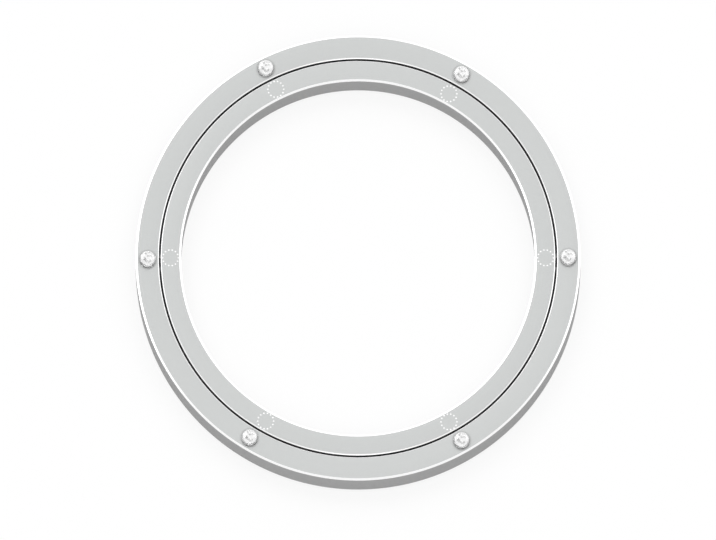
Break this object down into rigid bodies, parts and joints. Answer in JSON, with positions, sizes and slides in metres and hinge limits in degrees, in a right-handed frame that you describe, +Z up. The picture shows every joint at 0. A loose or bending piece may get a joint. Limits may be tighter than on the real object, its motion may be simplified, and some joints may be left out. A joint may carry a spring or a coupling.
{
  "type": "lazy susan bearing",
  "caption": "Flat aluminium ring bearing for a turntable: an outer ring turns round a still inner ring on caged steel balls, with clear soft pads above and below.",
  "frame": {"origin": "on the turning axis, at table level under the base pads", "axes": "+Z up along the turning axis, +X towards the first pad, -Y towards the viewer of the picture"},
  "size_m": [0.3, 0.3, 0.0133],
  "materials": {
    "satin_aluminium": "satin clear-anodised, fine turned, with bright-cut bevels and dots",
    "dowel_steel": "ground dowel",
    "black_nylon": "moulded, matt",
    "bearing_steel": "polished",
    "clear_silicone": "clear, glossy, self-adhesive"
  },
  "bodies": {
    "base": {"inner_ring": "satin_aluminium", "base_pad_1": "clear_silicone", "base_pad_2": "clear_silicone", "base_pad_3": "clear_silicone", "base_pad_4": "clear_silicone", "base_pad_5": "clear_silicone", "base_pad_6": "clear_silicone"},
    "turntable": {"outer_ring": "satin_aluminium", "fill_plug": "satin_aluminium", "plug_pin": "dowel_steel", "top_pad_1": "clear_silicone", "top_pad_2": "clear_silicone", "top_pad_3": "clear_silicone", "top_pad_4": "clear_silicone", "top_pad_5": "clear_silicone", "top_pad_6": "clear_silicone"},
    "cage": {"ball_cage": "black_nylon"},
    "ball_01_body": {"ball_01": "bearing_steel"},
    "ball_02_body": {"ball_02": "bearing_steel"},
    "ball_03_body": {"ball_03": "bearing_steel"},
    "ball_04_body": {"ball_04": "bearing_steel"},
    "ball_05_body": {"ball_05": "bearing_steel"},
    "ball_06_body": {"ball_06": "bearing_steel"},
    "ball_07_body": {"ball_07": "bearing_steel"},
    "ball_08_body": {"ball_08": "bearing_steel"},
    "ball_09_body": {"ball_09": "bearing_steel"},
    "ball_10_body": {"ball_10": "bearing_steel"},
    "ball_11_body": {"ball_11": "bearing_steel"},
    "ball_12_body": {"ball_12": "bearing_steel"},
    "ball_13_body": {"ball_13": "bearing_steel"},
    "ball_14_body": {"ball_14": "bearing_steel"},
    "ball_15_body": {"ball_15": "bearing_steel"},
    "ball_16_body": {"ball_16": "bearing_steel"},
    "ball_17_body": {"ball_17": "bearing_steel"},
    "ball_18_body": {"ball_18": "bearing_steel"},
    "ball_19_body": {"ball_19": "bearing_steel"},
    "ball_20_body": {"ball_20": "bearing_steel"},
    "ball_21_body": {"ball_21": "bearing_steel"},
    "ball_22_body": {"ball_22": "bearing_steel"},
    "ball_23_body": {"ball_23": "bearing_steel"},
    "ball_24_body": {"ball_24": "bearing_steel"}
  },
  "joints": [
    {"name": "spin", "type": "hinge", "parent": "base", "child": "turntable", "pos_m": [0, 0, 0.00665], "axis": [0, 0, 1], "continuous": true},
    {"name": "cage_orbit", "type": "hinge", "parent": "base", "child": "cage", "pos_m": [0, 0, 0.00665], "axis": [0, 0, 1], "continuous": true},
    {"name": "ball_01_roll", "type": "hinge", "parent": "cage", "child": "ball_01_body", "pos_m": [0.13375, 0, 0.00665], "axis": [-0.7071, 0, 0.7071], "continuous": true},
    {"name": "ball_02_roll", "type": "hinge", "parent": "cage", "child": "ball_02_body", "pos_m": [0.12919, 0.03462, 0.00665], "axis": [-0.683, -0.183, 0.7071], "continuous": true},
    {"name": "ball_03_roll", "type": "hinge", "parent": "cage", "child": "ball_03_body", "pos_m": [0.11583, 0.06688, 0.00665], "axis": [-0.6124, -0.3536, 0.7071], "continuous": true},
    {"name": "ball_04_roll", "type": "hinge", "parent": "cage", "child": "ball_04_body", "pos_m": [0.09458, 0.09458, 0.00665], "axis": [-0.5, -0.5, 0.7071], "continuous": true},
    {"name": "ball_05_roll", "type": "hinge", "parent": "cage", "child": "ball_05_body", "pos_m": [0.06688, 0.11583, 0.00665], "axis": [-0.3536, -0.6124, 0.7071], "continuous": true},
    {"name": "ball_06_roll", "type": "hinge", "parent": "cage", "child": "ball_06_body", "pos_m": [0.03462, 0.12919, 0.00665], "axis": [-0.183, -0.683, 0.7071], "continuous": true},
    {"name": "ball_07_roll", "type": "hinge", "parent": "cage", "child": "ball_07_body", "pos_m": [0, 0.13375, 0.00665], "axis": [0, -0.7071, 0.7071], "continuous": true},
    {"name": "ball_08_roll", "type": "hinge", "parent": "cage", "child": "ball_08_body", "pos_m": [-0.03462, 0.12919, 0.00665], "axis": [0.183, -0.683, 0.7071], "continuous": true},
    {"name": "ball_09_roll", "type": "hinge", "parent": "cage", "child": "ball_09_body", "pos_m": [-0.06688, 0.11583, 0.00665], "axis": [0.3536, -0.6124, 0.7071], "continuous": true},
    {"name": "ball_10_roll", "type": "hinge", "parent": "cage", "child": "ball_10_body", "pos_m": [-0.09458, 0.09458, 0.00665], "axis": [0.5, -0.5, 0.7071], "continuous": true},
    {"name": "ball_11_roll", "type": "hinge", "parent": "cage", "child": "ball_11_body", "pos_m": [-0.11583, 0.06688, 0.00665], "axis": [0.6124, -0.3536, 0.7071], "continuous": true},
    {"name": "ball_12_roll", "type": "hinge", "parent": "cage", "child": "ball_12_body", "pos_m": [-0.12919, 0.03462, 0.00665], "axis": [0.683, -0.183, 0.7071], "continuous": true},
    {"name": "ball_13_roll", "type": "hinge", "parent": "cage", "child": "ball_13_body", "pos_m": [-0.13375, 0, 0.00665], "axis": [0.7071, 0, 0.7071], "continuous": true},
    {"name": "ball_14_roll", "type": "hinge", "parent": "cage", "child": "ball_14_body", "pos_m": [-0.12919, -0.03462, 0.00665], "axis": [0.683, 0.183, 0.7071], "continuous": true},
    {"name": "ball_15_roll", "type": "hinge", "parent": "cage", "child": "ball_15_body", "pos_m": [-0.11583, -0.06688, 0.00665], "axis": [0.6124, 0.3536, 0.7071], "continuous": true},
    {"name": "ball_16_roll", "type": "hinge", "parent": "cage", "child": "ball_16_body", "pos_m": [-0.09458, -0.09458, 0.00665], "axis": [0.5, 0.5, 0.7071], "continuous": true},
    {"name": "ball_17_roll", "type": "hinge", "parent": "cage", "child": "ball_17_body", "pos_m": [-0.06688, -0.11583, 0.00665], "axis": [0.3536, 0.6124, 0.7071], "continuous": true},
    {"name": "ball_18_roll", "type": "hinge", "parent": "cage", "child": "ball_18_body", "pos_m": [-0.03462, -0.12919, 0.00665], "axis": [0.183, 0.683, 0.7071], "continuous": true},
    {"name": "ball_19_roll", "type": "hinge", "parent": "cage", "child": "ball_19_body", "pos_m": [0, -0.13375, 0.00665], "axis": [0, 0.7071, 0.7071], "continuous": true},
    {"name": "ball_20_roll", "type": "hinge", "parent": "cage", "child": "ball_20_body", "pos_m": [0.03462, -0.12919, 0.00665], "axis": [-0.183, 0.683, 0.7071], "continuous": true},
    {"name": "ball_21_roll", "type": "hinge", "parent": "cage", "child": "ball_21_body", "pos_m": [0.06688, -0.11583, 0.00665], "axis": [-0.3536, 0.6124, 0.7071], "continuous": true},
    {"name": "ball_22_roll", "type": "hinge", "parent": "cage", "child": "ball_22_body", "pos_m": [0.09458, -0.09458, 0.00665], "axis": [-0.5, 0.5, 0.7071], "continuous": true},
    {"name": "ball_23_roll", "type": "hinge", "parent": "cage", "child": "ball_23_body", "pos_m": [0.11583, -0.06688, 0.00665], "axis": [-0.6124, 0.3536, 0.7071], "continuous": true},
    {"name": "ball_24_roll", "type": "hinge", "parent": "cage", "child": "ball_24_body", "pos_m": [0.12919, -0.03462, 0.00665], "axis": [-0.683, 0.183, 0.7071], "continuous": true}
  ],
  "couplings": [
    {"joint": "cage_orbit", "follows": "spin", "ratio": 0.50661},
    {"joint": "ball_01_roll", "follows": "spin", "ratio": 26.745},
    {"joint": "ball_02_roll", "follows": "spin", "ratio": 26.745},
    {"joint": "ball_03_roll", "follows": "spin", "ratio": 26.745},
    {"joint": "ball_04_roll", "follows": "spin", "ratio": 26.745},
    {"joint": "ball_05_roll", "follows": "spin", "ratio": 26.745},
    {"joint": "ball_06_roll", "follows": "spin", "ratio": 26.745},
    {"joint": "ball_07_roll", "follows": "spin", "ratio": 26.745},
    {"joint": "ball_08_roll", "follows": "spin", "ratio": 26.745},
    {"joint": "ball_09_roll", "follows": "spin", "ratio": 26.745},
    {"joint": "ball_10_roll", "follows": "spin", "ratio": 26.745},
    {"joint": "ball_11_roll", "follows": "spin", "ratio": 26.745},
    {"joint": "ball_12_roll", "follows": "spin", "ratio": 26.745},
    {"joint": "ball_13_roll", "follows": "spin", "ratio": 26.745},
    {"joint": "ball_14_roll", "follows": "spin", "ratio": 26.745},
    {"joint": "ball_15_roll", "follows": "spin", "ratio": 26.745},
    {"joint": "ball_16_roll", "follows": "spin", "ratio": 26.745},
    {"joint": "ball_17_roll", "follows": "spin", "ratio": 26.745},
    {"joint": "ball_18_roll", "follows": "spin", "ratio": 26.745},
    {"joint": "ball_19_roll", "follows": "spin", "ratio": 26.745},
    {"joint": "ball_20_roll", "follows": "spin", "ratio": 26.745},
    {"joint": "ball_21_roll", "follows": "spin", "ratio": 26.745},
    {"joint": "ball_22_roll", "follows": "spin", "ratio": 26.745},
    {"joint": "ball_23_roll", "follows": "spin", "ratio": 26.745},
    {"joint": "ball_24_roll", "follows": "spin", "ratio": 26.745}
  ]
}
